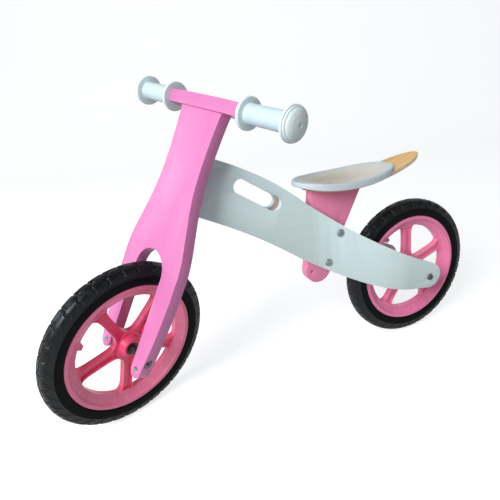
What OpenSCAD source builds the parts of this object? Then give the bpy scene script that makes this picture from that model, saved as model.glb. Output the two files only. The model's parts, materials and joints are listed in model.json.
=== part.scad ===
// Balance bike: a two-wheeled wooden push bike for a small child.
// X points forward, Y to the rider's left, Z up. All sizes in millimetres.
// The origin is on the floor, under the middle of the whole bike's outline.
// The fork and handlebar are drawn turned to the left by steer_rest.

/* [Show] */

/* [Wheels] */
// Outer radius of both tyres
tyre_r = 142; // [120:1:160]
// Half the width of a tyre
tyre_hw = 17; // [14:0.5:25]
// Depth of the rounded crown of a tyre
tyre_crown = 22.5; // [15:0.5:30]
// Radius of the rim flange
rim_r = 110; // [90:1:125]
// Half the width of the rim over its flanges
rim_hw = 15.8; // [12:0.2:22]
// Inner radius of the rim ring, where the spokes meet it
rim_in = 89; // [75:1:100]
// Number of spokes
spokes = 5; // [3:1:8]
// Width of a spoke at its narrowest
spoke_w = 16; // [8:1:30]
// Distance between the two axles with the fork straight
wheelbase = 577; // [480:1:650]
// Turn of the rear wheel's spokes from forward
rear_phase = 16; // [0:1:72]
// Turn of the front wheel's spokes from forward
front_phase = -9.5; // [-72:0.5:72]

/* [Steering] */
// Angle of the steering axis from upright
caster = 25.3; // [10:0.1:35]
// How far the front axle lies ahead of the steering axis
fork_offset = 23.3; // [10:0.1:45]
// How far the fork is turned left in the drawn pose
steer_rest = 21.4; // [-40:0.1:40]
// How far the straight front axle sits above (+) or below (-) the rear one
front_lift = -0.626; // [-5:0.1:5]
// Diameter of the steel pivot rod
pivot_d = 8; // [6:0.5:12]
// Lower end of the frame's head, measured along the steering axis
head_low = 232; // [200:0.5:260]
// Upper end of the frame's head, measured along the steering axis
head_top = 324.5; // [290:0.5:350]

/* [Fork and handlebar] */
// Thickness of the fork board
fork_t = 19.5; // [15:0.5:25]
// Height of the fork board's top above the axle, along the fork
fork_top = 392; // [340:1:430]
// Half the width of the wheel slot between the legs
slot_hw = 36; // [25:0.5:45]
// Height of the slot's round end centre above the axle
slot_v = 127.5; // [100:0.5:160]
// Thickness of the crossbar board
bar_t = 20; // [15:1:30]
// Half the length of the crossbar board
bar_half = 86; // [60:1:110]
// Depth of the crossbar in its middle
bar_depth = 35; // [25:1:50]
// Depth of the crossbar at its ends
bar_end_depth = 24; // [18:1:40]
// Half the whole handlebar length
handle_half = 183; // [150:1:220]
// Radius of a grip's tube
grip_r = 14.7; // [10:0.1:20]
// Radius of a grip's inner flange
grip_flange_r = 24; // [18:0.5:30]

/* [Frame] */
// Thickness of each bent side plate
plate_t = 9; // [6:0.5:15]
// Thickness of the core and of the seat post
core_t = 18; // [12:0.5:25]
// Where the plates begin to spread, ahead of the rear axle
flare_start = 235; // [180:1:280]
// Where the plates run parallel again, ahead of the rear axle
flare_end = 45; // [0:1:90]
// How far each plate spreads sideways
flare_y = 48; // [30:1:60]
// Radius of the plates' rear ends round the axle
tail_r = 24.6; // [18:0.5:35]
// Width of the carrying slot
carry_w = 25.4; // [20:0.2:35]

/* [Seat] */
// Half the width of the seat pad
pad_hw = 59; // [45:0.5:75]
// Half the width of the bent seat board
board_hw = 37; // [30:0.5:55]
// Thickness of the bent seat board
seat_t = 7; // [5:0.5:12]
// How deep the board is let into the underside of the pad
seat_rise = 4.5; // [0:0.5:7]
// Thickness of the pad behind its nose
pad_t = 12.8; // [8:0.2:25]
// Thickness of the pad at its rear end
pad_rear_t = 14; // [8:0.5:25]
// Height over the axles of the axis the seat is dished round
seat_axis = 396; // [260:0.5:400]

/* [Hidden] */
$fn = 64;

// middle of the bike's outline, seen from above, from the rear axle
mid = [284.54, 7.22];
// the steering axis passes this point level with the straight front axle
ax_x = wheelbase - fork_offset * cos(caster);
ax_z = tyre_r + front_lift - fork_offset * sin(caster);
// middle plane of the fork board, ahead of the steering axis
fork_x = fork_offset - 1.7;
fork_back = fork_x - fork_t / 2;
fork_front = fork_x + fork_t / 2;
bar_x = fork_x - 1.8;
bar_z = fork_top + bar_t / 2;
plate_out = core_t / 2 + plate_t;
bolt_hole = 4.1;
axle_in = plate_out + flare_y - plate_t;
// centres and radius of the round leg tips, across and along the fork
leg_u = 48.3;
leg_v = -17.5;
leg_r = leg_u - slot_hw;
// where two screws hold the crossbar, either side of the middle
bar_screws = [-24, 24];

pink = [0.94, 0.50, 0.76];
rim_pink = [0.92, 0.36, 0.52];
grey = [0.72, 0.79, 0.81];
ply = [0.80, 0.64, 0.42];
ivory = [0.84, 0.87, 0.86];
steel = [0.62, 0.63, 0.65];
black = [0.06, 0.06, 0.07];

// ---- helpers ----
// frame coordinates: rear axle over x = 0, floor at z = 0
module place() translate([-mid[0], -mid[1], 0]) children();
// everything that steers, drawn with z along the steering axis
module steered() place() translate([ax_x, 0, ax_z])
  rotate([0, -caster, 0]) rotate([0, 0, steer_rest]) children();
// the front wheel's own place in the steered parts
module front_hub() steered() translate([fork_offset, 0, 0])
  rotate([0, caster, 0]) children();
module rear_hub() place() translate([0, 0, tyre_r]) children();
// a side-view outline (x, z) made solid from y0 to y1
module side(y0, y1) translate([0, y1, 0]) rotate([90, 0, 0])
  linear_extrude(y1 - y0) children();
// a front-view outline (y, z) made solid from x0 to x1
module face(x0, x1) translate([x0, 0, 0]) rotate([90, 0, 90])
  linear_extrude(x1 - x0) children();
// a profile (r, y) turned round the Y axis
module turn_y() rotate([-90, 0, 0]) rotate_extrude($fn = 128) children();
module rod_y(r, y0, y1) translate([0, y0, 0]) rotate([-90, 0, 0])
  cylinder(r = r, h = y1 - y0);
module rod_x(r, x0, x1) translate([x0, 0, 0]) rotate([0, 90, 0])
  cylinder(r = r, h = x1 - x0);
module hex(af, h) cylinder(d = af / cos(30), h = h, $fn = 6);

function bez(a, b, c, d, n = 14) = [for (i = [0:n - 1]) let (t = i / n, s = 1 - t)
  s * s * s * a + 3 * s * s * t * b + 3 * s * t * t * c + t * t * t * d];
function arc(c, r, a0, a1, n = 16) = [for (i = [0:n])
  c + r * [cos(a0 + (a1 - a0) * i / n), sin(a0 + (a1 - a0) * i / n)]];
function rev(p) = [for (i = [len(p) - 1:-1:0]) p[i]];
function flip(p) = [for (q = p) [-q[0], q[1]]];

// ---- frame ----
// side view of the beam, from the rear axle (x forward, z up)
head_up = [ax_x - head_top * sin(caster) - 2 * cos(caster),
  ax_z - tyre_r + head_top * cos(caster) - 2 * sin(caster)];
head_dn = [ax_x - head_low * sin(caster) - 2 * cos(caster),
  ax_z - tyre_r + head_low * cos(caster) - 2 * sin(caster)];
beam_top = concat(bez(head_up, [352, 258], [300, 228], [245, 181], 18),
  bez([245, 181], [170, 124], [112, 80], [-11.1, 24.6], 24));
beam_low = concat(bez([3.7, -21.9], [54.7, -12.1], [112, -16.5], [254, 77], 24),
  bez([254, 77], [315, 121], [350, 146], head_dn, 16));
module beam_side() translate([0, tyre_r])
  polygon(concat([head_dn], [head_up], beam_top,
    arc([-1, 2.2], tail_r, 114.2, 281, 22), beam_low));
// plan view of one side plate: straight in front, spread round the wheel
function spread(x) = let (t = max(0, min(1, (flare_start - x)
  / (flare_start - flare_end)))) flare_y * t * t * (3 - 2 * t);
function slope(x) = (spread(x + 0.5) - spread(x - 0.5));
module plate_plan() polygon(concat(
  [for (x = [-60:7.5:500]) let (m = slope(x), k = plate_t / 2 / sqrt(1 + m * m),
    y = core_t / 2 + plate_t / 2 + spread(x)) [x - m * k, y + k]],
  [for (x = [500:-7.5:-60]) let (m = slope(x), k = plate_t / 2 / sqrt(1 + m * m),
    y = core_t / 2 + plate_t / 2 + spread(x)) [x + m * k, y - k]]));
carry_a = [303.5, 188.8 + tyre_r];
carry_b = [362.6, 228.2 + tyre_r];
module carry_hole() {
  for (p = [carry_a, carry_b]) translate(p) circle(d = carry_w, $fn = 48);
  d = carry_b - carry_a;
  translate(carry_a) rotate(atan2(d[1], d[0]))
    translate([0, -carry_w / 2]) square([norm(d), carry_w]);
}
bolt_up = [179.5, 115.3 + tyre_r];
bolt_low = [201, 60 + tyre_r];
screw_pts = [[413.5, 264 + tyre_r], [439.5, 211 + tyre_r]];
module at_xz(p, y = 0) translate([p[0], y, p[1]]) children();

module plate(s) color(grey) place() difference() {
  intersection() {
    side(-90, 90) difference() { beam_side(); carry_hole(); }
    mirror([0, s < 0 ? 1 : 0, 0]) linear_extrude(600) plate_plan();
  }
  for (p = [bolt_up, bolt_low]) at_xz(p) {
    rod_y(bolt_hole, -90, 90);
    // flat seats for the bolt heads, cut into the slanted plates
    for (q = [-1, 1]) mirror([0, q < 0 ? 1 : 0, 0]) rod_y(7.4, out_at(p[0]), 90);
  }
  at_xz([0, tyre_r]) rod_y(bolt_hole, -90, 90);
  for (p = screw_pts) at_xz(p) {
    rod_y(2.1, -90, 90);
    for (q = [-1, 1]) translate([0, q * (plate_out - 2), 0])
      rotate([q > 0 ? -90 : 90, 0, 0]) cylinder(r1 = 2.1, r2 = 4.3, h = 2.2);
  }
}
module side_plate_left() plate(1);
module side_plate_right() plate(-1);

// the core carries the pivot bushes in its rounded nose
bush_d = 12;
bush_l = 15;
module core_block() color(ply) place() difference() {
  union() {
    side(-core_t / 2, core_t / 2) difference() {
      intersection() {
        beam_side();
        translate([246.5, 0]) square([400, 600]);
      }
      carry_hole();
    }
    translate([ax_x, 0, ax_z]) rotate([0, -caster, 0])
      translate([0, 0, head_low]) {
        cylinder(d = core_t, h = head_top - head_low);
        translate([-6, -core_t / 2, 0]) cube([6, core_t, head_top - head_low]);
      }
  }
  translate([ax_x, 0, ax_z]) rotate([0, -caster, 0]) translate([0, 0, head_low]) {
    translate([0, 0, -1]) cylinder(d = bush_d, h = bush_l + 1);
    translate([0, 0, head_top - head_low - bush_l]) cylinder(d = bush_d, h = bush_l + 1);
    cylinder(d = pivot_d + 1, h = head_top - head_low);
    // room for the bush flanges above and below
    for (z = [-3, head_top - head_low]) translate([-11, -core_t, z])
      cube([30, 2 * core_t, 3]);
  }
  for (p = screw_pts) at_xz(p) rod_y(1.9, -90, 90);
}
module head_bushes() color(black) place()
  translate([ax_x, 0, ax_z]) rotate([0, -caster, 0]) difference() {
    for (e = [0, 1]) translate([0, 0, e ? head_top : head_low])
      mirror([0, 0, e]) {
        translate([0, 0, -1.5]) cylinder(d = 17, h = 1.5);
        cylinder(d = bush_d, h = bush_l);
      }
    cylinder(d = pivot_d + 0.1, h = 400);
  }
module plate_screws() color(steel) place() for (p = screw_pts, s = [-1, 1])
  at_xz(p) mirror([0, s < 0 ? 1 : 0, 0]) difference() {
    union() {
      rod_y(1.85, 3, plate_out - 1);
      translate([0, plate_out - 2, 0]) rotate([-90, 0, 0])
        cylinder(r1 = 1.85, r2 = 4.1, h = 2);
    }
    translate([0, plate_out - 1.2, 0]) rotate([-90, 0, 0]) hex(2.5, 2);
  }

// ---- seat ----
post_low = [214.6, 44.8];
module post_side() translate([0, tyre_r]) difference() {
  union() {
    translate(post_low) circle(r = 25.8, $fn = 72);
    polygon([[239.6, 44], [223.6, 230], [105, 230], [103, 224],
      [127, 179], [189, 57.5], [190.5, 40]]);
  }
  translate([229, 43]) circle(r = 2.4, $fn = 32);
}
// the line the seat follows along its middle: low over the post, rising
// gently to the nose and steeply to the tail
function seat_c(x) = let (u = (x - 130) / 130)
  188.2 - 15.3 * u + 21.1 * u * u + 6.7 * pow(u, 3) + 2.5 * pow(u, 4);
function pad_h(x) = pad_rear_t + (pad_t - pad_rear_t) * (x - 40) / 215
  - 5 * pow(max(0, (x - 222) / 36), 2);
// a dished shell from a lower to an upper distance over that line
module dish(low, high) translate([0, 0, tyre_r + seat_axis]) rotate([0, 90, 0])
  rotate_extrude($fn = 180) polygon(concat(low, rev(high)));
function dish_line(x0, x1, h, pad = 0) = [for (x = [x0:14:x1])
  [seat_axis - seat_c(x) - h - pad * pad_h(x), x]];
// half of an oval plan outline, from its front tip to its rear tip
function oval(front, wide, rear, w, a, b, c, d) = [for (t = [0:7.5:180])
  let (k = cos(t), f = k > 0 ? front - wide : wide - rear) [wide + k * f,
    w * pow(max(0, 1 - pow(abs(k), k > 0 ? a : c)), k > 0 ? b : d)]];
pad_half = oval(257, 167, 51, pad_hw, 1.85, 0.55, 1.95, 0.45);
function base_half(gap) = oval(240 + gap, 110, -13.6 - gap, board_hw + gap,
  1.9, 0.7, 2.6, 0.52);
module both(p) polygon(concat(p,
  [for (i = [len(p) - 2:-1:1]) [p[i][0], -p[i][1]]]));
module seat_post() color(pink) place() difference() {
  side(-core_t / 2, core_t / 2) post_side();
  dish([[0, 88], [0, 242]], dish_line(88, 242, seat_rise));
  for (p = [bolt_up, bolt_low]) at_xz(p) rod_y(bolt_hole, -30, 30);
  for (x = seat_bolts) translate([x, 0, tyre_r + 140]) cylinder(r = 1.9, h = 90);
}
seat_bolts = [150, 205];
module seat_base() color(ply) place() difference() {
  intersection() {
    dish(dish_line(-24, 256, seat_rise), dish_line(-24, 256, seat_rise + seat_t));
    linear_extrude(tyre_r + seat_axis) both(base_half(0));
  }
  for (x = seat_bolts) translate([x, 0, tyre_r + 150]) cylinder(r = 2.2, h = 90);
}
module seat_pad() color(ivory) place() difference() {
  intersection() {
    dish(dish_line(32, 270, seat_t), dish_line(32, 270, seat_t, 1));
    linear_extrude(tyre_r + seat_axis) both(pad_half);
  }
  // the board's place in the underside, and room for the screw heads
  intersection() {
    dish(dish_line(-24, 270, 0), dish_line(-24, 270, seat_rise + seat_t));
    linear_extrude(tyre_r + seat_axis) both(base_half(0.4));
  }
  for (x = seat_bolts) translate([x, 0, tyre_r + seat_c(x) + seat_rise])
    cylinder(r = 5.4, h = seat_t + 5);
}
module seat_screws() color(steel) place() for (x = seat_bolts)
  translate([x, 0, tyre_r + seat_c(x) + seat_rise + seat_t]) {
    translate([0, 0, -36]) cylinder(r = 1.85, h = 37.6);
    translate([0, 0, 0.9]) cylinder(r = 4.5, h = 2.6);
  }
module post_bolts() color(steel) place() for (p = [bolt_up, bolt_low])
  at_xz(p) button_bolt(out_at(p[0]), 4);
module post_nuts() color(steel) place() for (p = [bolt_up, bolt_low])
  at_xz(p) sleeve_nut(-out_at(p[0]), 4);
function out_at(x) = core_t / 2 + plate_t + spread(x) + 0.6;
// button head with a hexagon socket; the shank runs to the far side
module button_bolt(y, r) difference() {
  union() {
    rod_y(r - 0.05, 8 - y, y + 1);
    translate([0, y, 0]) rotate([-90, 0, 0]) cylinder(r1 = 7, r2 = 6, h = 2.4);
  }
  translate([0, y + 0.8, 0]) rotate([-90, 0, 0]) hex(5, 4);
}
module sleeve_nut(y, r) difference() {
  translate([0, y, 0]) rotate([90, 0, 0]) cylinder(r1 = 7, r2 = 6, h = 2.4);
  translate([0, y - 0.8, 0]) rotate([90, 0, 0]) hex(5, 4);
}
module post_spacers() color(black) place() for (p = [bolt_up, bolt_low], s = [-1, 1])
  at_xz(p) mirror([0, s < 0 ? 1 : 0, 0]) difference() {
    rod_y(8, core_t / 2, core_t / 2 + max(0.8, spread(p[0] + 8) - 0.5));
    rod_y(bolt_hole, 0, 60);
  }

// ---- wheels ----
module tyre() turn_y() polygon(concat(
  [[105.2, -10.5], [105.2, 10.5], [rim_r + 0.2, 10.7], [rim_r + 0.2, rim_hw + 0.4]],
  [for (a = [88:-4:-88]) let (n = 2.6, c = abs(cos(a)), s = abs(sin(a)),
    k = pow(pow(c, n) + pow(s, n), -1 / n))
    [tyre_r - tyre_crown + tyre_crown * k * c, tyre_hw * k * sin(a)]],
  [[rim_r + 0.2, -rim_hw - 0.4], [rim_r + 0.2, -10.7]]));
half_rim = [[rim_in, 5.2], [rim_in + 2.5, 6.4], [101, 12.6], [102.2, 14.6],
  [103.4, rim_hw], [109, rim_hw], [rim_r, rim_hw - 1], [rim_r, 11], [104.9, 10.8]];
function spoke_half(r) = spoke_w / 2 + 10 * exp(-(r - 19) / 5)
  + 11 * exp(-(90.5 - r) / 4.5);
module spoke_flat(in, r0, r1) polygon(concat(
  [for (r = [r0:3:r1]) [r, spoke_half(r) - in]],
  [for (r = [r1:-3:r0]) [r, in - spoke_half(r)]]));
module rim(phase) difference() {
  union() {
    turn_y() polygon(concat(half_rim, [for (q = rev(half_rim)) [q[0], -q[1]]]));
    turn_y() polygon([[0, -16.5], [13.4, -16.5], [14.6, -15.3], [20.5, -6.5],
      [20.5, 6.5], [14.6, 15.3], [13.4, 16.5], [0, 16.5]]);
    side(-6.2, 6.2) {
      for (i = [0:spokes - 1]) rotate(phase + i * 360 / spokes)
        spoke_flat(0, 17, 92);
      // the small block the valve of an air tyre would need
      rotate(phase + 180 / spokes) translate([82.5, -4]) square([9, 8]);
    }
  }
  for (y = [-10, 2.6]) side(y, y + 7.4)
    for (i = [0:spokes - 1]) rotate(phase + i * 360 / spokes)
      spoke_flat(3, 22.5, 87);
  rod_y(5.2, -20, 20);
  for (s = [-1, 1]) rod_y(11, s > 0 ? 9.5 : -16.6, s > 0 ? 16.6 : -9.5);
}
module bearings() for (s = [-1, 1]) difference() {
  rod_y(10.95, s > 0 ? 9.5 : -16.5, s > 0 ? 16.5 : -9.5);
  rod_y(4.05, -20, 20);
}
module spacers(y1) for (s = [-1, 1]) mirror([0, s < 0 ? 1 : 0, 0]) difference() {
  rod_y(6.4, 16.8, y1);
  rod_y(4.05, 0, 80);
}
module rear_rim() color(rim_pink) rear_hub() rim(rear_phase);
module rear_tyre() color(black) rear_hub() tyre();
module rear_bearings() color(black) rear_hub() bearings();
module rear_spacers() color(black) rear_hub() spacers(axle_in);
module rear_axle() color(steel) rear_hub() difference() {
  union() {
    rod_y(4, -plate_out - flare_y - 9, plate_out + flare_y);
    translate([0, plate_out + flare_y, 0]) rotate([-90, 0, 0])
      cylinder(r1 = 6.6, r2 = 5.8, h = 2.6);
  }
  translate([0, plate_out + flare_y + 1, 0]) rotate([-90, 0, 0]) hex(5, 4);
}
module rear_axle_washers() color(steel) rear_hub() difference() {
  rod_y(8.5, -plate_out - flare_y - 1.6, -plate_out - flare_y);
  rod_y(4.1, -90, 0);
}
module rear_axle_nut() color(steel) rear_hub() difference() {
  translate([0, -plate_out - flare_y - 1.6, 0]) rotate([90, 0, 0]) hex(13, 6.4);
  rod_y(4, -90, 0);
}
module front_rim() color(rim_pink) front_hub() rim(front_phase);
module front_tyre() color(black) front_hub() tyre();
module front_bearings() color(black) front_hub() bearings();
module front_spacers() color(black) front_hub() spacers(slot_hw);

// ---- fork ----
fork_edge = concat(bez([48.3, fork_top], [45, 362], [43.5, 330], [44, 300], 8),
  bez([44, 300], [44.5, 235], [70, 190], [72.5, 147], 16),
  bez([72.5, 147], [73.5, 90], [70, 40], [leg_u + leg_r, leg_v], 12),
  arc([leg_u, leg_v], leg_r, 0, -180, 16),
  arc([0, slot_v], slot_hw, 0, 90, 16));
module fork_board() color(pink) steered() difference() {
  face(fork_back, fork_front) polygon(concat(fork_edge, rev(flip(fork_edge))));
  translate([fork_offset, 0, 0]) {
    rod_y(4.1, -80, 80);
    for (s = [-1, 1]) mirror([0, s < 0 ? 1 : 0, 0]) rod_y(7.6, 57.5, 80);
  }
  for (s = [-1, 1]) translate([0, s * leg_u, leg_v])
    rod_x(2.05, fork_front - 16, fork_front + 1);
  for (v = bracket_holes) translate([0, 0, v])
    rod_x(1.9, fork_back - 1, fork_back + 14);
  for (u = bar_screws) translate([bar_x, u, fork_top - 28]) cylinder(r = 2.1, h = 40);
}
bar_plan = concat([[bar_end_depth / 2, bar_half]],
  bez([bar_end_depth / 2, bar_half - 4], [bar_end_depth / 2 + 1, 62],
    [bar_depth / 2, 60], [bar_depth / 2, 34], 10),
  bez([bar_depth / 2, 34], [bar_depth / 2, 12], [bar_depth / 2, -12],
    [bar_depth / 2, -34], 3),
  bez([bar_depth / 2, -34], [bar_depth / 2, -60], [bar_end_depth / 2 + 1, -62],
    [bar_end_depth / 2, 4 - bar_half], 10), [[bar_end_depth / 2, -bar_half]]);
module crossbar() color(pink) steered() translate([bar_x, 0, fork_top]) difference() {
  linear_extrude(bar_t) polygon(concat(bar_plan, rev(flip(bar_plan))));
  translate([0, 0, bar_t / 2]) for (s = [-1, 1]) rod_y(6, s > 0 ? 41.5 : -90,
    s > 0 ? 90 : -41.5);
  for (u = bar_screws) translate([0, u, -1]) {
    cylinder(r = 2.1, h = 40);
    translate([0, 0, bar_t - 2]) cylinder(r1 = 2.1, r2 = 5.1, h = 3);
  }
}
// two long screws hold the crossbar down on the fork
module crossbar_screws() color(steel) steered() translate([bar_x, 0, fork_top])
  for (u = bar_screws) translate([0, u, 0]) difference() {
    union() {
      translate([0, 0, -26]) cylinder(r = 2, h = bar_t + 24);
      translate([0, 0, bar_t - 2.6]) cylinder(r1 = 2, r2 = 4.6, h = 2.6);
    }
    translate([0, 0, bar_t - 1.5]) hex(3, 3);
  }
module handlebar_rods() color(steel) steered() translate([bar_x, 0, bar_z])
  for (s = [-1, 1]) mirror([0, s < 0 ? 1 : 0, 0]) rod_y(5.95, 42, handle_half - 12);
grip_shape = [[6, bar_half + 0.2], [grip_flange_r - 1.2, bar_half + 0.2],
  [grip_flange_r, bar_half + 1.4], [grip_flange_r, bar_half + 4.6],
  [grip_flange_r - 1.5, bar_half + 6], [grip_r + 1.5, bar_half + 6.4],
  [grip_r, bar_half + 8], [grip_r, handle_half - 16.5],
  [grip_r + 1.5, handle_half - 15], [24, handle_half - 15],
  [25, handle_half - 14], [25, handle_half - 10.5], [6, handle_half - 10.5]];
module grip() rotate([-90, 0, 0]) rotate_extrude($fn = 96) polygon(grip_shape);
module grip_left() color(ivory) steered() translate([bar_x, 0, bar_z]) grip();
module grip_right() color(ivory) steered() translate([bar_x, 0, bar_z])
  mirror([0, 1, 0]) grip();
cap_shape = concat([[2.2, handle_half - 10.3], [24, handle_half - 10.3],
  [24, handle_half - 7.5], [21.8, handle_half - 6.8]],
  [for (a = [8:9:80]) [21 * cos(a), handle_half - 7 + 7 * sin(a)]],
  [[2.2, handle_half]]);
module grip_caps() color(ivory) steered() translate([bar_x, 0, bar_z])
  for (s = [-1, 1]) mirror([0, s < 0 ? 1 : 0, 0]) rotate([-90, 0, 0])
    rotate_extrude($fn = 96) polygon(cap_shape);
module cap_screws() color(steel) steered() translate([bar_x, 0, bar_z])
  for (s = [-1, 1]) mirror([0, s < 0 ? 1 : 0, 0])
    rod_y(2.1, handle_half - 11.9, handle_half - 2);

// ---- steering pivot: rod in the frame's bushes, held by two brackets ----
bracket_z = [14, 28];
up_v = head_top + 1.8;
dn_v = head_low - 1.8;
bracket_holes = concat([for (z = bracket_z) up_v + z], [for (z = bracket_z) dn_v - z]);
module bracket() difference() {
  union() {
    cylinder(r = 10, h = 3);
    translate([0, -10, 0]) cube([fork_back, 20, 3]);
    translate([fork_back - 3, -10, 0]) cube([3, 20, 36]);
  }
  translate([0, 0, -1]) cylinder(d = pivot_d + 0.06, h = 6);
  for (z = bracket_z) translate([fork_back - 4, 0, z]) rotate([0, 90, 0])
    cylinder(r = 2.1, h = 6);
}
module fork_brackets() color(steel) steered() {
  translate([0, 0, up_v]) bracket();
  translate([0, 0, dn_v]) mirror([0, 0, 1]) bracket();
}
module bracket_screws() color(steel) steered() for (v = bracket_holes)
  translate([0, 0, v]) {
    rod_x(1.85, fork_back - 3, fork_back + 13);
    rod_x(3.8, fork_back - 5, fork_back - 3);
  }
module pivot_rod() color(steel) steered() {
  translate([0, 0, dn_v - 3]) cylinder(d = pivot_d, h = up_v - dn_v + 13);
  translate([0, 0, dn_v - 8]) cylinder(r = 6.5, h = 5);
}
module pivot_nut() color(steel) steered() translate([0, 0, up_v + 3.05])
  difference() {
    union() { hex(13, 6.5); translate([0, 0, 6.5]) cylinder(r1 = 6, r2 = 3.5, h = 5); }
    translate([0, 0, -1]) cylinder(d = pivot_d, h = 8.2);
  }
module leg_screws() color(steel) steered() for (s = [-1, 1])
  translate([0, s * leg_u, leg_v]) difference() {
    union() {
      rod_x(2, fork_front - 15, fork_front + 0.5);
      translate([fork_front, 0, 0]) rotate([0, 90, 0])
        cylinder(r1 = 5.2, r2 = 3.8, h = 2.2);
    }
    translate([fork_front + 0.7, 0, 0]) rotate([0, 90, 0]) hex(3, 4);
  }
module front_axle() color(steel) steered() translate([fork_offset, 0, 0])
  difference() {
    union() {
      rod_y(4, -62, 57.5);
      rod_y(6.6, 57.5, 62);
    }
    translate([0, 59.5, 0]) rotate([-90, 0, 0]) hex(5, 4);
  }
module front_axle_nut() color(steel) steered() translate([fork_offset, -57.5, 0])
  difference() {
    rotate([90, 0, 0]) hex(13, 5);
    rod_y(4, -20, 5);
  }

side_plate_left();
side_plate_right();
core_block();
head_bushes();
plate_screws();
seat_post();
post_bolts();
post_nuts();
post_spacers();
seat_base();
seat_pad();
seat_screws();
rear_axle();
rear_axle_nut();
rear_axle_washers();
rear_spacers();
rear_rim();
rear_tyre();
rear_bearings();
fork_board();
crossbar();
crossbar_screws();
handlebar_rods();
grip_left();
grip_right();
grip_caps();
cap_screws();
pivot_rod();
pivot_nut();
fork_brackets();
bracket_screws();
leg_screws();
front_axle();
front_axle_nut();
front_spacers();
front_rim();
front_tyre();
front_bearings();
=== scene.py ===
"""Balance bike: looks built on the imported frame. Metres, X forward, Y to the rider's left, Z up."""

import json
import math

import bpy
from mathutils import Euler, Matrix, Vector


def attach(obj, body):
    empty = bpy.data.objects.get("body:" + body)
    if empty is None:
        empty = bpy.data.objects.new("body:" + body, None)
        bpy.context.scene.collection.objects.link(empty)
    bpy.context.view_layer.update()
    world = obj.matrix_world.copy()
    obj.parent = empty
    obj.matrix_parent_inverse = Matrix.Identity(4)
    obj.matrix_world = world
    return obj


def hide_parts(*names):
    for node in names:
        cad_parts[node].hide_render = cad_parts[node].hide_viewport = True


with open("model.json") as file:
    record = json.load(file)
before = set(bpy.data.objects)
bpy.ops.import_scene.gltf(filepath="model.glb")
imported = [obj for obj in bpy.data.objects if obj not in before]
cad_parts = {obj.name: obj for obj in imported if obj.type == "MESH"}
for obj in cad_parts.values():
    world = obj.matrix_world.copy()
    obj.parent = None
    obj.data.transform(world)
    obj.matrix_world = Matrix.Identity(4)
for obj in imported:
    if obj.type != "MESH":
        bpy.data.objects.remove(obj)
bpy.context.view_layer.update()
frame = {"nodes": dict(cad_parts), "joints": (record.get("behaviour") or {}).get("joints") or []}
nodes = frame["nodes"]
joints = {joint["name"]: joint for joint in frame["joints"]}

# ---- where things are -------------------------------------------------------
rear_hub = Vector(joints["rear_wheel_spin"]["pos_m"])
rear_axle = Vector(joints["rear_wheel_spin"]["axis"])
front_hub = Vector(joints["front_wheel_spin"]["pos_m"])
front_axle = Vector(joints["front_wheel_spin"]["axis"])
steer_up = Vector(joints["steering"]["axis"])
steer_ahead = front_axle.cross(steer_up).normalized()
UP = Vector((0, 0, 1))
FORK_OFFSET = 0.0233  # the front axle, ahead of the steering axis
BAR_AHEAD, BAR_UP = 0.0198, 0.402  # the handlebar, ahead of that axis and up along it
TYRE_R, TYRE_HW, TYRE_CROWN = 0.142, 0.017, 0.0225  # outside, half width, height of the crown
RIM_R, RIM_HW = 0.110, 0.0158


def turned(ahead, left, up, origin):
    """The matrix of a local frame whose x, y and z run along three given directions."""
    m = Matrix((ahead, left, up)).transposed().to_4x4()
    m.translation = origin
    return m


steered = turned(steer_ahead, front_axle, steer_up, front_hub - steer_ahead * FORK_OFFSET)
front_ahead = front_axle.cross(UP).normalized()
front_wheel = turned(front_ahead, front_axle, front_ahead.cross(front_axle), front_hub)
rear_wheel = turned(Vector((1, 0, 0)), rear_axle, UP, rear_hub)
seat_frame = Matrix.Translation(rear_hub)


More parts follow.
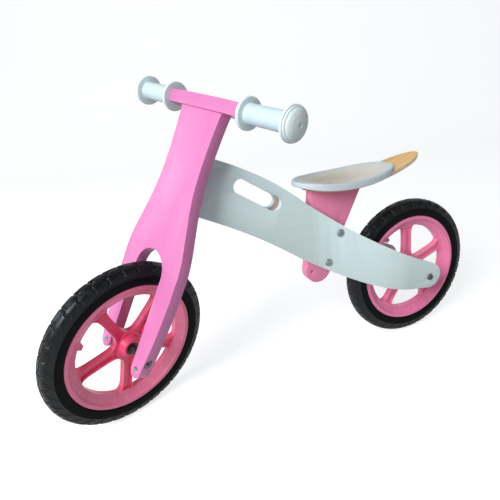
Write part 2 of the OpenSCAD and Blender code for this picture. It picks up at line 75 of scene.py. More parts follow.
# ---- material tools ----------------------------------------------------------
class Nodes:
    """A node tree with one Principled shader, built up by short calls."""

    def __init__(self, name, **sockets):
        self.mat = bpy.data.materials.new(name)
        self.mat.use_nodes = True
        self.tree = self.mat.node_tree
        self.bsdf = self.tree.nodes["Principled BSDF"]
        self.set(**sockets)

    def set(self, **sockets):
        """Sets or links the shader's own sockets, written with _ for each space."""
        for key, value in sockets.items():
            socket = self.bsdf.inputs[key.replace("_", " ")]
            if isinstance(value, bpy.types.NodeSocket):
                self.tree.links.new(value, socket)
            elif isinstance(value, tuple) and len(value) == 3 and socket.type == "RGBA":
                socket.default_value = (*value, 1)
            else:
                socket.default_value = value

    def node(self, kind, inputs=None, **settings):
        n = self.tree.nodes.new("ShaderNode" + kind)
        for key, value in settings.items():
            setattr(n, key, value)
        for key, value in (inputs or {}).items():
            if isinstance(value, bpy.types.NodeSocket):
                self.tree.links.new(value, n.inputs[key])
            else:
                n.inputs[key].default_value = value
        return n

    def place(self, scale=(1, 1, 1), local=None):
        """Object coordinates, taken into a local frame where one is given, then scaled."""
        at = self.node("TexCoord").outputs["Object"]
        if local is not None:
            place = self.node("Mapping", {"Vector": at}, vector_type="TEXTURE")
            place.inputs["Location"].default_value = local.translation
            place.inputs["Rotation"].default_value = local.to_euler()
            at = place.outputs[0]
        if scale != (1, 1, 1):
            at = self.node("Mapping", {"Vector": at, "Scale": scale}).outputs[0]
        return at

    def noise(self, at, scale, detail=4.0, rough=0.55, distortion=0.0):
        return self.node("TexNoise", {"Vector": at, "Scale": scale, "Detail": detail,
                                      "Roughness": rough, "Distortion": distortion}).outputs["Fac"]

    def math(self, operation, a, b=0.0):
        return self.node("Math", {0: a, 1: b}, operation=operation).outputs[0]

    def ramp(self, fac, low, high, to_low=0.0, to_high=1.0):
        """A smooth step from one value to another."""
        return self.node("MapRange", {"Value": fac, "From Min": low, "From Max": high,
                                      "To Min": to_low, "To Max": to_high},
                         interpolation_type="SMOOTHSTEP").outputs[0]

    def mix(self, fac, a, b):
        m = self.node("Mix", data_type="RGBA")
        for index, value in ((0, fac), (6, a), (7, b)):
            if isinstance(value, bpy.types.NodeSocket):
                self.tree.links.new(value, m.inputs[index])
            elif index:
                m.inputs[index].default_value = (*value, 1)
            else:
                m.inputs[index].default_value = value
        return m.outputs[2]

    def bump(self, height, strength, distance, onto=None):
        inputs = {"Height": height, "Strength": strength, "Distance": distance}
        if onto is not None:
            inputs["Normal"] = onto
        return self.node("Bump", inputs).outputs[0]

    def split(self, at):
        return self.node("SeparateXYZ", {0: at}).outputs

    def stored(self, name):
        """A value that the mesh stores at each of its points."""
        return self.node("Attribute", attribute_name=name,
                         attribute_type="GEOMETRY").outputs["Fac"]


def shade(colour, factor):
    """A colour made darker or lighter."""
    return tuple(min(1.0, c * factor) for c in colour)


# ---- materials ---------------------------------------------------------------
def lacquer(name, colour, grain, local=None, layers=None, rough=0.38, figured=1.0):
    """Sprayed lacquer over plywood: faint grain and pores, orange peel, ply layers on the edges."""
    n = Nodes(name, Coat_Weight=0.12, Coat_Roughness=0.28, Specular_IOR_Level=0.40)
    at = n.place(local=local)
    along = n.place(grain, local)
    figure = n.noise(along, 9.0, 6.0, 0.62, 0.6)
    pores = n.noise(along, 46.0, 3.0, 0.7)
    cloud = n.noise(at, 7.0, 3.0, 0.5)
    tone = n.mix(n.ramp(figure, 0.35, 0.7),
                 shade(colour, 1 - 0.05 * figured), shade(colour, 1 + 0.03 * figured))
    tone = n.mix(n.ramp(cloud, 0.3, 0.75, 0.0, 0.3), tone, shade(colour, 1 + 0.08 * figured))
    tone = n.mix(n.ramp(pores, 0.58, 0.74, 0.0, 0.16 * figured), tone, shade(colour, 0.8))
    peel = n.noise(at, 420.0, 2.0, 0.5)
    normal = n.bump(peel, 0.12, 0.0004)
    normal = n.bump(pores, 0.16, 0.0006, normal)
    if layers is not None:
        axis, pitch, normal_axis = layers
        across = n.split(at)[axis]
        stripe = n.math("PINGPONG", n.math("DIVIDE", across, pitch), 0.5)
        facing = n.node("NewGeometry").outputs["True Normal"]
        if local is not None:
            facing = n.node("Mapping", {"Vector": facing}, vector_type="VECTOR").outputs[0]
            facing.node.inputs["Rotation"].default_value = local.to_3x3().inverted().to_euler()
        edge = n.ramp(n.math("ABSOLUTE", n.split(facing)[normal_axis]), 0.75, 0.35)
        line = n.math("MULTIPLY", n.ramp(stripe, 0.08, 0.2, 1.0, 0.0), edge)
        tone = n.mix(n.math("MULTIPLY", line, 0.35), tone, shade(colour, 0.72))
        normal = n.bump(line, 0.35, 0.0008, normal)
    n.set(Base_Color=tone, Normal=normal)
    n.set(Roughness=n.ramp(n.noise(at, 26.0, 4.0), 0.3, 0.75, rough - 0.06, rough + 0.1))
    return n.mat


def plain_ply(name, pale, deep):
    """Bare or clear-varnished plywood: long fibres with rays and pores."""
    n = Nodes(name, Coat_Weight=0.3, Coat_Roughness=0.3)
    along = n.place((2.2, 30, 30))
    bands = n.noise(along, 3.2, 5.0, 0.6, 1.4)
    fibres = n.noise(along, 38.0, 4.0, 0.75)
    tone = n.mix(n.ramp(bands, 0.3, 0.72), deep, pale)
    tone = n.mix(n.ramp(fibres, 0.5, 0.72, 0.0, 0.55), tone, shade(deep, 0.72))
    n.set(Base_Color=tone, Roughness=n.ramp(fibres, 0.3, 0.7, 0.38, 0.55))
    n.set(Normal=n.bump(fibres, 0.3, 0.0007))
    return n.mat


def seat_wood(name):
    """The bent seat board: warm veneer above and below, thin glued layers on its edge, and a painted
    pink reflection of the seat post on the front of that edge.
    """
    n = Nodes(name, Coat_Weight=0.45, Coat_Roughness=0.22)
    layer, edge = n.stored("layer"), n.stored("edge")
    along = n.place((3.0, 34, 12))
    bands = n.noise(along, 2.4, 5.0, 0.6, 1.6)
    fibres = n.noise(along, 30.0, 4.0, 0.75)
    face = n.mix(n.ramp(bands, 0.3, 0.72), (0.60, 0.31, 0.06), (0.86, 0.55, 0.13))
    face = n.mix(n.ramp(fibres, 0.48, 0.75, 0.0, 0.5), face, (0.36, 0.17, 0.06))
    stripes = n.ramp(n.math("PINGPONG", n.math("MULTIPLY", layer, 5.0), 0.5), 0.2, 0.3)
    rim = n.mix(stripes, (0.58, 0.42, 0.23), (0.88, 0.76, 0.50))
    rim = n.mix(n.ramp(fibres, 0.4, 0.8, 0.0, 0.3), rim, (0.56, 0.40, 0.22))
    # painted reflection: the edge's front part, under the pad and over the post, is tinted pink as if
    # lit by the post's paint
    post_pink_reflection = n.ramp(n.split(n.place(local=seat_frame))[0], 0.045, 0.075)
    rim = n.mix(n.math("MULTIPLY", post_pink_reflection, 0.8), rim, (0.62, 0.33, 0.38))
    n.set(Base_Color=n.mix(edge, face, rim), Roughness=n.ramp(fibres, 0.3, 0.7, 0.3, 0.5))
    n.set(Normal=n.bump(n.math("ADD", fibres, n.math("MULTIPLY", stripes, edge)), 0.25, 0.0006))
    return n.mat


# radii on a rim, and how many rib marks go round it
SPOKE_END_R, DRUM_START_R, SEAM_R, DRUM_END_R = 0.0860, 0.0905, 0.0971, 0.1035
RIB_MARKS = 25


def moulded(name, colour, spoke_glow, local, phase):
    """Injection-moulded rim plastic: slight mottling, rib marks and a seam line on the drum, and
    spokes in a hotter pink than the ring, a painted glow of light coming through them.
    """
    n = Nodes(name, IOR=1.5, Subsurface_Weight=0.06, Subsurface_Scale=0.004, Coat_Weight=0.12,
              Coat_Roughness=0.15)
    n.set(Subsurface_Radius=(1.0, 0.35, 0.45))
    at = n.place(local=local)
    x, y, z = n.split(at)[0:3]
    radius = n.math("SQRT", n.math("ADD", n.math("MULTIPLY", x, x), n.math("MULTIPLY", z, z)))
    angle = n.math("ADD", n.math("ARCTAN2", z, x), math.radians(360 - phase))
    ribs = n.math("PINGPONG", n.math("MULTIPLY", angle, RIB_MARKS / (2 * math.pi)), 0.5)
    rib = n.ramp(ribs, 0.012, 0.028, 1.0, 0.0)
    drum = n.math("MULTIPLY", n.ramp(radius, DRUM_START_R, DRUM_START_R + 0.001),
                  n.ramp(radius, DRUM_END_R, DRUM_END_R - 0.0013))
    seam = n.math("MULTIPLY", n.ramp(radius, SEAM_R - 0.0006, SEAM_R - 0.0002),
                  n.ramp(radius, SEAM_R + 0.0006, SEAM_R + 0.0002))
    mark = n.math("MAXIMUM", n.math("MULTIPLY", rib, drum), n.math("MULTIPLY", seam, 0.6))
    cloud = n.noise(at, 34.0, 3.0, 0.5)
    grain = n.noise(at, 900.0, 2.0, 0.6)
    outer = n.ramp(radius, SPOKE_END_R, DRUM_START_R)
    # the spokes and hub take the painted glow colour, the ring the plastic's own
    base = n.mix(outer, spoke_glow, colour)
    deep = n.mix(outer, shade(spoke_glow, 0.85), shade(colour, 0.82))
    tone = n.mix(n.ramp(cloud, 0.3, 0.75, 0.0, 0.5), base, deep)
    dust = n.math("MULTIPLY", n.ramp(n.noise(at, 120.0, 4.0), 0.5, 0.75), 0.08)
    tone = n.mix(dust, tone, (0.95, 0.62, 0.72))
    tone = n.mix(n.math("MULTIPLY", mark, 0.38), tone, (0.98, 0.52, 0.64))
    normal = n.bump(grain, 0.08, 0.0003)
    normal = n.bump(mark, 0.25, 0.0004, normal)
    n.set(Base_Color=tone, Normal=normal, Roughness=n.ramp(cloud, 0.3, 0.75, 0.3, 0.42))
    return n.mat


def foam_tyre(name, shine, rough):
    """Black EVA foam: finely grained, and dusty down in the cuts of the tread."""
    n = Nodes(name, Specular_IOR_Level=shine, Specular_Tint=(0.82, 0.92, 1.0))
    at = n.place()
    depth = n.stored("groove")
    skin = n.noise(at, 700.0, 4.0, 0.7)
    patch = n.noise(at, 40.0, 4.0, 0.6)
    tone = n.mix(n.ramp(patch, 0.35, 0.7), (0.0018, 0.0016, 0.0017), (0.0045, 0.0042, 0.0044))
    tone = n.mix(n.math("MULTIPLY", depth, 0.4), tone, (0.008, 0.0078, 0.0075))
    dull = n.math("ADD", n.ramp(patch, 0.3, 0.7, rough, rough + 0.12),
                  n.math("MULTIPLY", depth, 0.2))
    n.set(Base_Color=tone, Roughness=dull, Normal=n.bump(skin, 0.28, 0.0006))
    return n.mat


TUBE_SHADE_FROM, TUBE_SHADE_TO = 0.0930, 0.1680  # the grip's tube between flange and end, given painted shade
TUBE_SHADE_TINT = (0.7998, 0.8835, 0.93)


def soft_rubber(name, colour, ribs, local, rough=0.55):
    """Off-white soft rubber: velvety and slightly marked, finely ribbed, and darker and bluer along
    the tube, painted shade.
    """
    n = Nodes(name, Subsurface_Weight=0.12, Subsurface_Scale=0.003, Sheen_Weight=0.12,
              Sheen_Roughness=0.5)
    at = n.place(local=local)
    cloud = n.noise(at, 30.0, 4.0, 0.55)
    skin = n.noise(at, 850.0, 3.0, 0.65)
    tone = n.mix(n.ramp(cloud, 0.3, 0.75), shade(colour, 0.94), shade(colour, 1.03))
    smudge = n.math("MULTIPLY", n.ramp(n.noise(at, 70.0, 5.0, 0.7), 0.55, 0.8), 0.16)
    tone = n.mix(smudge, tone, (0.52, 0.52, 0.50))
    normal = n.bump(skin, 0.14, 0.0004)
    along = n.split(at)[1]
    out = n.math("ABSOLUTE", along)
    # painted shade: the tube between flange and end is darker and bluer than the rest of the same
    # rubber
    tube_shade = n.math("MULTIPLY", n.ramp(out, TUBE_SHADE_FROM, TUBE_SHADE_FROM + 0.0015),
                  n.ramp(out, TUBE_SHADE_TO, TUBE_SHADE_TO - 0.0015))
    tone = n.mix(tube_shade, tone, tuple(c * t for c, t in zip(colour, TUBE_SHADE_TINT)))
    wave = n.math("SINE", n.math("MULTIPLY", along, 2 * math.pi / ribs))
    normal = n.bump(wave, 0.12, 0.0006, normal)
    n.set(Base_Color=tone, Normal=normal)
    n.set(Roughness=n.ramp(cloud, 0.3, 0.75, rough - 0.06, rough + 0.08))
    return n.mat


def cushion_skin(name):
    """The pad's moulded foam skin: matt, pebbled, browner in streaks across the scoop, and bluer
    round its edge and sides, a painted cool reflection.
    """
    n = Nodes(name, Subsurface_Weight=0.1, Subsurface_Scale=0.004, Sheen_Weight=0.15,
              Sheen_Roughness=0.6)
    at = n.place()
    scoop, cool_reflection_band = n.stored("scoop"), n.stored("cool_reflection_band")
    cloud = n.noise(at, 22.0, 5.0, 0.6)
    pebble = n.node("TexVoronoi", {"Vector": at, "Scale": 620.0}).outputs["Distance"]
    tone = n.mix(n.ramp(cloud, 0.3, 0.72), (0.67, 0.655, 0.59), (0.75, 0.74, 0.665))
    streak = n.noise(n.place((4.0, 16.0, 4.0)), 7.0, 4.0, 0.6, 0.8)
    # brown streaks over the scoop, darker and warmer than the rest of the top
    scoop_streaks = n.math("MULTIPLY", scoop, n.ramp(streak, 0.3, 0.7, 0.25, 1.0))
    tone = n.mix(n.math("MULTIPLY", scoop_streaks, 0.8), tone, (0.50, 0.375, 0.28))
    # painted cool reflection: the pad's outer rim and sides are tinted bluer than its top
    tone = n.mix(n.math("MULTIPLY", cool_reflection_band, 0.85), tone, (0.58, 0.69, 0.75))
    normal = n.bump(pebble, 0.2, 0.0005)
    normal = n.bump(cloud, 0.12, 0.0015, normal)
    n.set(Base_Color=tone, Normal=normal, Roughness=n.ramp(cloud, 0.3, 0.75, 0.52, 0.68))
    return n.mat


def zinc(name, tint=(0.56, 0.57, 0.58), rough=0.3):
    """Zinc-plated steel: bright with clouded plating and fine turning marks."""
    n = Nodes(name, Metallic=1.0)
    at = n.place()
    cloud = n.noise(at, 160.0, 4.0, 0.6)
    marks = n.noise(at, 1500.0, 2.0, 0.6)
    n.set(Base_Color=n.mix(n.ramp(cloud, 0.3, 0.72), shade(tint, 0.72), shade(tint, 1.15)))
    n.set(Roughness=n.ramp(cloud, 0.3, 0.75, rough - 0.06, rough + 0.14))
    n.set(Normal=n.bump(marks, 0.12, 0.0002))
    return n.mat


def nylon(name):
    """Black moulded nylon with a fine spark-eroded texture."""
    n = Nodes(name, Specular_IOR_Level=0.45)
    at = n.place()
    skin = n.noise(at, 1100.0, 3.0, 0.65)
    cloud = n.noise(at, 90.0, 3.0, 0.5)
    n.set(Base_Color=n.mix(n.ramp(cloud, 0.3, 0.7), (0.012, 0.012, 0.013), (0.026, 0.026, 0.027)))
    n.set(Roughness=n.ramp(cloud, 0.3, 0.75, 0.36, 0.5), Normal=n.bump(skin, 0.25, 0.0003))
    return n.mat


# PINK_PAINTED_SHADE and POST_PINK stand for one pink lacquer. PINK_PAINTED_SHADE, on the fork and
# handlebar, is set darker and bluer than the post's to suit how the lamps light the fork's front: a
# painted shade copy.
PINK_PAINTED_SHADE = (0.67, 0.20, 0.455)
POST_PINK = (0.83, 0.245, 0.42)
# Rim and spokes are one plastic. The spokes' hotter, more saturated pinks are a painted glow of light
# coming through them, and the front and rear copies differ to suit how each wheel is lit: painted
# light and shade.
RIM_PINK, REAR_RIM_PINK = (0.90, 0.20, 0.37), (0.90, 0.205, 0.42)
SPOKE_PINK_PAINTED_GLOW, REAR_SPOKE_PINK_PAINTED_GLOW = (0.99, 0.068, 0.205), (0.92, 0.20, 0.38)
GREY = (0.63, 0.765, 0.785)
IVORY = (0.69, 0.79, 0.82)

pink_fork = lacquer("pink_lacquer_fork", PINK_PAINTED_SHADE, (14, 14, 1.0), steered, (0, 0.0028, 0))
pink_bar = lacquer("pink_lacquer_bar", PINK_PAINTED_SHADE, (14, 1.0, 14), steered, (2, 0.0028, 2))
pink_post = lacquer("pink_lacquer_post", POST_PINK, (10, 10, 1.0), None, (1, 0.0026, 1))
grey_plate = lacquer("grey_lacquer", GREY, (1.0, 14, 12), None, None, 0.42, 0.45)
# the bare ply is given dark, greyed tones: painted shade for its edge seen inside the carrying slot
core_ply_painted_shade = plain_ply("birch_ply", (0.42, 0.33, 0.27), (0.26, 0.19, 0.15))
board_wood = seat_wood("bent_ply")
rim_front = moulded("pink_plastic_front", RIM_PINK, SPOKE_PINK_PAINTED_GLOW, front_wheel, -9.5)
rim_rear = moulded("pink_plastic_rear", REAR_RIM_PINK, REAR_SPOKE_PINK_PAINTED_GLOW, rear_wheel, 16)
tyre_tread = foam_tyre("eva_tyre_tread", 0.28, 0.30)
tyre_wall = foam_tyre("eva_tyre_wall", 0.06, 0.50)
grip_white = soft_rubber("grip_rubber", IVORY, 0.0016, steered)
cushion = cushion_skin("seat_foam")
steel = zinc("zinc_steel")
dull_steel = zinc("zinc_steel_dull", (0.28, 0.315, 0.33), 0.42)
dark_steel = zinc("zinc_steel_dark", (0.13, 0.14, 0.145), 0.45)
black = nylon("black_nylon")


# ---- CAD nodes: materials and softened edges ----------------------------------
SHARP, FLAT = math.radians(48), math.radians(0.4)


def dress(node, material, soften=0.0):
    """Gives a CAD node its material and, where asked, rounds its sharp edges with modifiers."""
    obj = nodes[node]
    obj.data.materials.clear()
    obj.data.materials.append(material)
    if soften:
        weld = obj.modifiers.new("weld", "WELD")
        weld.merge_threshold = 0.00001
        flat = obj.modifiers.new("flat", "DECIMATE")
        flat.decimate_type = "DISSOLVE"
        flat.angle_limit = FLAT
        edge = obj.modifiers.new("edge", "BEVEL")
        edge.width = soften
        edge.segments = 3
        edge.limit_method = "ANGLE"
        edge.angle_limit = SHARP
        edge.use_clamp_overlap = True
        edge.harden_normals = True
    for polygon in obj.data.polygons:
        polygon.use_smooth = True


for node in ("side_plate_left", "side_plate_right"):
    dress(node, grey_plate, 0.0012)
dress("core_block", core_ply_painted_shade, 0.0006)
dress("seat_post", pink_post, 0.0014)
dress("fork_board", pink_fork, 0.0016)
dress("crossbar", pink_bar, 0.0016)
dress("front_rim", rim_front)
dress("rear_rim", rim_rear)
for node in ("head_bushes", "post_spacers", "rear_spacers", "rear_bearings", "front_spacers",
             "front_bearings"):
    dress(node, black)
for node in ("plate_screws", "seat_screws", "rear_axle_nut", "rear_axle_washers",
             "crossbar_screws", "handlebar_rods", "cap_screws", "pivot_rod", "pivot_nut",
             "fork_brackets", "bracket_screws", "leg_screws", "front_axle_nut"):
    dress(node, steel)
for node in ("post_bolts", "post_nuts"):
    dress(node, dull_steel)
for node in ("rear_axle", "front_axle"):
    dress(node, dark_steel)


# ---- mesh tools ----------------------------------------------------------------
def mesh_object(name, points, faces, material, matrix):
    """A smooth object from points that are given in a local frame."""
    mesh = bpy.data.meshes.new(name)
    mesh.from_pydata([matrix @ Vector(p) for p in points], [], faces)
    mesh.materials.append(material)
    for polygon in mesh.polygons:
        polygon.use_smooth = True
    mesh.validate()
    obj = bpy.data.objects.new(name, mesh)
    bpy.context.scene.collection.objects.link(obj)
    return obj


def attribute(obj, name, values):
    """Stores one value for each point of a mesh, for its material."""
    obj.data.attributes.new(name, "FLOAT", "POINT").data.foreach_set("value", values)


def ring_faces(rings, around, closed_across=False):
    """Quads between neighbouring rings of a grid that closes on itself around."""
    faces = []
    last = rings if closed_across else rings - 1
    for i in range(last):
        for j in range(around):
            a, b = i * around, (i + 1) % rings * around
            k = (j + 1) % around
            faces.append((a + j, a + k, b + k, b + j))
    return faces


def step(low, high, value):
    """A smooth step from 0 at low to 1 at high."""
    t = max(0.0, min(1.0, (value - low) / (high - low)))
    return t * t * (3 - 2 * t)


# ---- tyres: a lathed body with a cut tread ---------------------------------------
TREAD_PITCH = 2 * math.pi / 36
TREAD_DEPTH = 0.0017
TREAD_EDGE = math.radians(76)
TYRE_SQUARENESS = 2.6  # 2 would be round
TYRE_STEPS, FINE_RINGS = 936, 60  # points around, and rings over the tread


def line_cut(distance, half_width, soft=0.04):
    """1 on a line and 0 away from it, with a soft edge."""
    return 1 - step(half_width, half_width + soft, abs(distance))


def tread(turn, lean):
    """How deep the tread is cut, 0 to 1, at an angle round the wheel and an angle over the crown:
    a row of oval blocks, curved blocks on each side, and thin hooked ridges on the shoulders."""
    w = lean / TREAD_EDGE
    reach = abs(w)
    p = turn / TREAD_PITCH
    # the groove round each oval block
    oval_ring = line_cut(math.hypot((p % 1 - 0.5) / 0.45, w / 0.20) - 1, 0.07, 0.13)
    # curved grooves between the blocks beside them, where s runs from 0 to 1 out to the edge
    s = max(0.0, min(1.0, (reach - 0.20) / 0.80))
    bend = 0.38 * s + 0.09 * math.sin(2 * math.pi * s * 1.3)
    across = (p + bend + 0.5) % 1 - 0.5
    lateral = line_cut(across, 0.025 + 0.05 * s, 0.06)
    lateral *= step(0.17, 0.21, reach) * (1 - step(0.60, 0.74, s))
    # the shoulder lies low past those blocks, and a thin hooked ridge stands on it
    block_end = 0.50 + 0.10 * math.cos(2 * math.pi * (across - 0.15))
    drop = 0.75 * step(block_end, block_end + 0.06, s) * (1 - step(0.90, 1.0, s))
    curl = 0.20 * step(0.80, 0.93, s)
    hook = line_cut(across - 0.16 + curl, 0.022, 0.05) * (1 - step(0.90, 0.97, s))
    return max(oval_ring, lateral, drop * (1 - hook))


def tyre(name, wheel, body, node):
    """A tyre as one closed ring of quads, with how deep each point is cut stored for the looks."""
    around = TYRE_STEPS
    wall = [math.radians(a) for a in (88, 84, 80)]
    leans = wall + [TREAD_EDGE * (1 - 2 * i / FINE_RINGS) for i in range(FINE_RINGS + 1)]
    leans += [-a for a in reversed(wall)]
    # the foot of the tyre on the rim: radius and distance from the middle
    bead = [(RIM_R + 0.0004, 0.0107), (RIM_R + 0.0006, RIM_HW - 0.0001),
            (RIM_R + 0.0022, RIM_HW + 0.0004)]
    points, cuts = [], []

    def ring(radius, y, lean=None):
        for j in range(around):
            turn = 2 * math.pi * j / around
            cut = tread(turn, lean) if lean is not None and abs(lean) <= TREAD_EDGE else 0.0
            r = radius - TREAD_DEPTH * cut * math.cos(lean or 0)
            across = y - TREAD_DEPTH * cut * math.sin(lean or 0)
            points.append((r * math.cos(turn), across, r * math.sin(turn)))
            cuts.append(cut)

    for radius, y in bead:
        ring(radius, y)
    for lean in leans:
        c, s = abs(math.cos(lean)), abs(math.sin(lean))
        k = (c ** TYRE_SQUARENESS + s ** TYRE_SQUARENESS) ** (-1 / TYRE_SQUARENESS)
        ring(TYRE_R - TYRE_CROWN + TYRE_CROWN * k * c, TYRE_HW * k * math.sin(lean), lean)
    for radius, y in reversed(bead):
        ring(radius, -y)
    rings = len(points) // around
    obj = mesh_object(name, points, ring_faces(rings, around, True), tyre_tread, wheel)
    obj.data.materials.append(tyre_wall)
    first = len(bead) + len(wall)
    for i, polygon in enumerate(obj.data.polygons):
        polygon.material_index = 0 if first <= i // around < first + FINE_RINGS else 1
    attribute(obj, "groove", cuts)
    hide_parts(node)
    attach(obj, body)


tyre("tyre_tread_front", front_wheel, "front_wheel", "front_tyre")
tyre("tyre_tread_rear", rear_wheel, "rear_wheel", "rear_tyre")


# ---- seat: dished pad on a bent board ----------------------------------------------
# heights over the axles and distances ahead of the rear one
SEAT_AXIS = 0.396  # the line the seat is dished round
SCOOP_X = 0.130
SCOOP_LINE = (0.1882, -0.0153, 0.0211, 0.0067, 0.0025)
BOARD_T, BOARD_LOW, PAD_LOW = 0.007, 0.0045, 0.007
# front end, widest place, rear end, half width, then how full each end is
PAD_OUTLINE = (0.257, 0.167, 0.051, 0.059, 1.85, 0.55, 1.95, 0.45)
BOARD_OUTLINE = (0.240, 0.110, -0.0136, 0.037, 1.9, 0.70, 2.6, 0.52)
HOLLOW = 0.0022  # how far the pad's top sinks in the middle
SEAT_STEPS = 160


def seat_middle(x):
    """Height of the line the seat follows along its middle, over the axles."""
    u = (x - SCOOP_X) / SCOOP_X
    return sum(c * u ** i for i, c in enumerate(SCOOP_LINE))


def seat_height(x, y, over):
    """Height of a surface dished round the seat's axis, some way over the middle line."""
    r = SEAT_AXIS - seat_middle(x) - over
    return SEAT_AXIS - math.sqrt(max(r * r - y * y, 1e-6))


def pad_thickness(x):
    """14 mm at the back, thinner to the front, and thinner still round the nose."""
    return 0.014 - 0.0012 * (x - 0.040) / 0.215 - 0.005 * max(0.0, (x - 0.222) / 0.036) ** 2


def oval(turn, front, wide, rear, width, a, b, c, d):
    """A point of an outline whose front and rear halves are ovals of different fullness."""
    k = math.cos(turn)
    reach = front - wide if k > 0 else wide - rear
    half = width * max(0.0, 1 - abs(k) ** (a if k > 0 else c)) ** (b if k > 0 else d)
    return wide + k * reach, half * (1 if math.sin(turn) >= 0 else -1)


def outline_of(numbers, around):
    """The points of such an outline, seen from above."""
    return [oval(2 * math.pi * (j + 0.5) / around, *numbers) for j in range(around)]


def capped(rings, around):
    """The faces of a form lofted from the middle of its top, over its edge, to the middle below."""
    faces = [tuple(reversed(face)) for face in ring_faces(rings, around)]
    bottom = range((rings - 1) * around, rings * around)
    return faces + [tuple(range(around)), tuple(reversed(bottom))]


def seat_pad():
    """The cushion: a softly rounded pad that follows the dish, with a hollow where one sits."""
    middle, around = 0.160, SEAT_STEPS
    round_over, round_under = 0.0046, 0.002
    # share of the way out, distance in from the edge, and level: 0 below to 1 on top, or a
    # distance down from the top or up from the bottom
    profile = [(s / 14, round_over, 1.0) for s in range(1, 15)]
    for i in range(1, 7):
        a = math.radians(15 * i)
        profile.append((1.0, round_over * (1 - math.sin(a)),
                        ("top", round_over * (1 - math.cos(a)))))
    for level in (0.46, 0.37, 0.28):
        profile.append((1.0, 0.0, level))
    for i in range(0, 4):
        a = math.radians(30 * i)
        profile.append((1.0, round_under * (1 - math.cos(a)),
                        ("bottom", round_under * (1 - math.sin(a)))))
    profile += [(s / 6, round_under, 0.0) for s in range(5, 0, -1)]
    points, scoop, cool_reflection_band = [], [], []
    outline = outline_of(PAD_OUTLINE, around)
    for share, inset, level in profile:
        for ex, ey in outline:
            way = Vector((ex - middle, ey))
            way = way.normalized() * (way.length - inset) * share
            x, y = middle + way.x, way.y
            low = seat_height(x, y, PAD_LOW)
            high = seat_height(x, y, PAD_LOW + pad_thickness(x))
            hollow = HOLLOW * (1 - share ** 2) if level == 1.0 else 0.0
            if isinstance(level, tuple):
                z = high - level[1] if level[0] == "top" else low + level[1]
            else:
                z = low + (high - low) * level - hollow
            points.append((x, y, z))
            near = math.hypot((x - 0.170) / 0.075, (y + 0.012) / 0.042)
            scoop.append((1 - step(0.25, 1.05, near)) if level == 1.0 else 0.0)
            # the outer rim and the sides carry the painted cool reflection
            cool_reflection_band.append(0.0 if level == 1.0 and share < 0.9 else 1.0)
    obj = mesh_object("seat_cushion", points, capped(len(profile), around), cushion, seat_frame)
    attribute(obj, "scoop", scoop)
    attribute(obj, "cool_reflection_band", cool_reflection_band)
    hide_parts("seat_pad")
    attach(obj, "frame")


def seat_board():
    """The bent board: lofted like the pad, with its glued layers stored for the edge."""
    middle, around = 0.110, SEAT_STEPS
    soft = 0.0012
    # share of the way out, distance in from the edge, level, and how much it is edge or face
    profile = [(s / 16, soft, 1.0, 0.0) for s in range(1, 17)]
    profile += [(1.0, soft * 0.3, 0.95, 0.4), (1.0, 0.0, 1 - soft / BOARD_T, 1.0)]
    profile += [(1.0, 0.0, level, 1.0) for level in (0.66, 0.5, 0.34)]
    profile += [(1.0, 0.0, soft / BOARD_T, 1.0), (1.0, soft * 0.3, 0.05, 0.4)]
    profile += [(s / 10, soft, 0.0, 0.0) for s in range(10, 0, -1)]
    points, layer, edge = [], [], []
    outline = outline_of(BOARD_OUTLINE, around)
    for share, inset, level, on_edge in profile:
        for ex, ey in outline:
            way = Vector((ex - middle, ey))
            way = way.normalized() * (way.length - inset) * share
            x, y = middle + way.x, way.y
            points.append((x, y, seat_height(x, y, BOARD_LOW + BOARD_T * level)))
            layer.append(level)
            edge.append(on_edge)
    obj = mesh_object("seat_board", points, capped(len(profile), around), board_wood, seat_frame)
    attribute(obj, "layer", layer)
    attribute(obj, "edge", edge)
    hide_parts("seat_base")
    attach(obj, "frame")


seat_pad()
seat_board()


# ---- grips: lathed rubber sleeves with domed caps -----------------------------------
BAR_HALF, HANDLE_HALF = 0.086, 0.183
GRIP_R, FLANGE_R, END_R, CAP_R = 0.0147, 0.024, 0.0250, 0.0239
DOME_R, DOME_RISE = 0.0210, 0.0070
GRIP_STEPS = 96


def rounded(corners, steps=5):
    """A profile of (radius, along, corner radius) points with its corners rounded."""
    out = []
    for i, (r, y, soft) in enumerate(corners):
        if not soft:
            out.append((r, y))
            continue
        here = Vector((r, y))
        before = Vector(corners[i - 1][:2]) - here
        after = Vector(corners[i + 1][:2]) - here
        soft = min(soft, before.length * 0.49, after.length * 0.49)
        a, b = here + before.normalized() * soft, here + after.normalized() * soft
        for j in range(steps + 1):
            t = j / steps
            p = a * (1 - t) ** 2 + here * 2 * t * (1 - t) + b * t * t
            out.append((p.x, p.y))
    return out


def lathe(name, profile, side):
    """Turns a rubber profile round the handlebar's line; side is 1 on the left, -1 on the right."""
    points, around = [], GRIP_STEPS
    for r, y in profile:
        for j in range(around):
            turn = 2 * math.pi * j / around
            points.append((BAR_AHEAD + r * math.cos(turn), side * y, BAR_UP + r * math.sin(turn)))
    faces = ring_faces(len(profile), around)
    if side < 0:
        faces = [tuple(reversed(face)) for face in faces]
    obj = mesh_object(name, points, faces, grip_white, steered)
    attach(obj, "steering")
    return obj


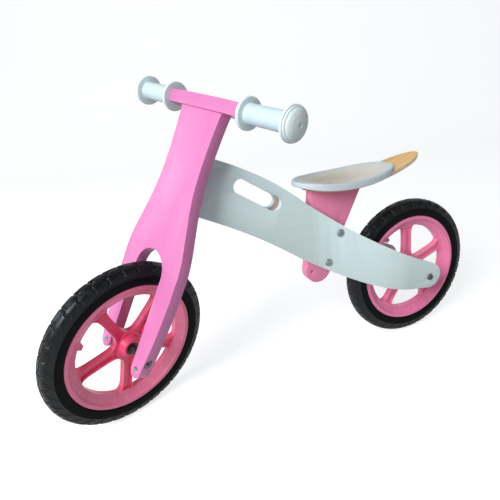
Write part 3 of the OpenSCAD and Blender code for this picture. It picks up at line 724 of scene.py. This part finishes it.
def grip(side, label):
    """A sleeve with a flange at its inner end, and the domed cap in its outer end."""
    b, h = BAR_HALF, HANDLE_HALF
    sleeve = rounded([
        (0.0061, b + 0.0003, 0), (FLANGE_R, b + 0.0003, 0.0016), (FLANGE_R, b + 0.0060, 0.0022),
        (GRIP_R + 0.0006, b + 0.0066, 0.0018), (GRIP_R, b + 0.0085, 0.001),
        (GRIP_R, h - 0.0168, 0.001), (GRIP_R + 0.0006, h - 0.0152, 0.001),
        (END_R - 0.0001, h - 0.0150, 0.0012), (END_R, h - 0.0106, 0.0012),
        (END_R - 0.0010, h - 0.0105, 0)])
    obj = lathe("grip_sleeve_" + label, sleeve, side)
    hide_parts("grip_" + label)
    # a rim, a small step and a dome with the screw's hole in its middle
    dome = [(DOME_R * math.cos(math.radians(a)),
             h - DOME_RISE + DOME_RISE * math.sin(math.radians(a))) for a in range(12, 84, 6)]
    cap = rounded([
        (0.0222, h - 0.0104, 0), (CAP_R, h - 0.0104, 0.0006), (CAP_R, h - 0.0074, 0.0012),
        (0.0214, h - 0.0068, 0.0006), (dome[0][0], dome[0][1], 0)])
    cap += dome[1:] + [(0.0028, h - 0.0001), (0.0023, h - 0.0005), (0.0022, h - 0.0050)]
    return lathe("grip_dome_" + label, cap, side)


for side, label in ((1, "left"), (-1, "right")):
    top = grip(side, label)
    if side > 0:
        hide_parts("grip_caps")

# ---- floor, light and camera ---------------------------------------------------------
BACKDROP_GLOW, SURROUND_GLOW = 0.70, 0.86
PAPER_WHITE = (0.98, 0.99, 1.0)
VIEW_WAY = Vector((-0.339, -0.894, 0))  # the way the camera looks, over the floor
ROOM_COLOUR, ROOM_GLOW = (0.96, 0.98, 1.0, 1), 0.33
KEY_WAY, KEY_DISTANCE, SHEEN_AT = Vector((0.75, 0.42, 0.51)), 3.0, (2.6, -1.6, 1.1)
KEY_COLOUR, SHEEN_COLOUR = (1.0, 0.995, 0.985), (0.78, 0.88, 1.0)
CAMERA_AT = (0.33355, 0.65418, 0.53100)
CAMERA_TURN = (73.037, 4.233, 157.887)  # degrees
CAMERA_LENS, CAMERA_SHIFT = 31.607, (0.0263, -0.0671)


def paper(name, mesh, n):
    """Makes a smooth sheet of glowing white paper out of a mesh."""
    n.set(Emission_Color=PAPER_WHITE)
    for polygon in mesh.polygons:
        polygon.use_smooth = True
    mesh.materials.append(n.mat)
    obj = bpy.data.objects.new(name, mesh)
    bpy.context.scene.collection.objects.link(obj)
    return obj


def backdrop():
    """A pale floor that sweeps up behind the bike, square to the view."""
    away = VIEW_WAY.normalized()
    across = Vector((-away.y, away.x, 0))
    bend, back, rise = 1.2, 2.2, 5.0
    run = [(-4.0, 0.0), (back, 0.0)]
    run += [(back + bend * math.sin(math.radians(a)), bend - bend * math.cos(math.radians(a)))
            for a in range(6, 91, 6)]
    run.append((back + bend, rise))
    points = [away * d + across * side + Vector((0, 0, h)) for side in (-7, 7) for d, h in run]
    count = len(run)
    faces = [(i, i + 1, count + i + 1, count + i) for i in range(count - 1)]
    mesh = bpy.data.meshes.new("backdrop")
    mesh.from_pydata(points, [], faces)
    n = Nodes("backdrop", Roughness=0.8, Specular_IOR_Level=0.1, Emission_Strength=BACKDROP_GLOW)
    at = n.place()
    n.set(Base_Color=n.mix(n.noise(at, 3.0, 3.0), (0.49, 0.49, 0.495), (0.52, 0.52, 0.52)))
    obj = paper("backdrop", mesh, n)
    obj.visible_diffuse = False  # so that white paper doesn't flatten the shaded sides


def surround():
    """Pale paper all round for other views. Only the camera sees it, so it changes no light."""
    around = 48
    profile = [(0.01, -0.006), (11.0, -0.006), (12.0, 0.3), (12.5, 1.5), (12.5, 9.0)]
    points = [(r * math.cos(2 * math.pi * j / around), r * math.sin(2 * math.pi * j / around), h)
              for r, h in profile for j in range(around)]
    mesh = bpy.data.meshes.new("surround")
    mesh.from_pydata(points, [], ring_faces(len(profile), around))
    n = Nodes("surround", Roughness=0.9, Specular_IOR_Level=0.0, Emission_Strength=SURROUND_GLOW)
    n.set(Base_Color=n.mix(n.noise(n.place(), 2.0), (0.05, 0.05, 0.05), (0.06, 0.06, 0.06)))
    obj = paper("surround", mesh, n)
    obj.visible_diffuse = obj.visible_glossy = False
    obj.visible_transmission = obj.visible_shadow = False


def area(name, at, look, size, power, colour):
    """A round lamp, its size in metres and its power in watts, that faces a point."""
    light = bpy.data.lights.new(name, "AREA")
    light.shape = "DISK"
    light.size = size
    light.energy = power
    light.color = colour
    obj = bpy.data.objects.new(name, light)
    obj.location = at
    obj.rotation_euler = (Vector(look) - Vector(at)).to_track_quat("-Z", "Y").to_euler()
    bpy.context.scene.collection.objects.link(obj)


def lighting():
    """A broad key ahead on the left, a cool sheen from the right and a dim even room."""
    world = bpy.data.worlds.new("studio")
    bpy.context.scene.world = world
    world.use_nodes = True
    room = world.node_tree.nodes["Background"].inputs
    room["Color"].default_value = ROOM_COLOUR
    room["Strength"].default_value = ROOM_GLOW
    middle = Vector((0.0, 0.0, 0.25))
    area("key", middle + KEY_WAY * KEY_DISTANCE, middle, 1.5, 96, KEY_COLOUR)
    area("sheen", SHEEN_AT, middle, 0.9, 12, SHEEN_COLOUR)
    bpy.context.scene.view_settings.view_transform = "Standard"


def camera():
    """Ahead and to the left of the bike, looking back and down."""
    data = bpy.data.cameras.new("camera")
    data.lens = CAMERA_LENS
    data.shift_x, data.shift_y = CAMERA_SHIFT
    obj = bpy.data.objects.new("camera", data)
    obj.location = CAMERA_AT
    obj.rotation_euler = Euler([math.radians(a) for a in CAMERA_TURN], "XYZ")
    bpy.context.scene.collection.objects.link(obj)
    bpy.context.scene.camera = obj


backdrop()
surround()
lighting()
camera()
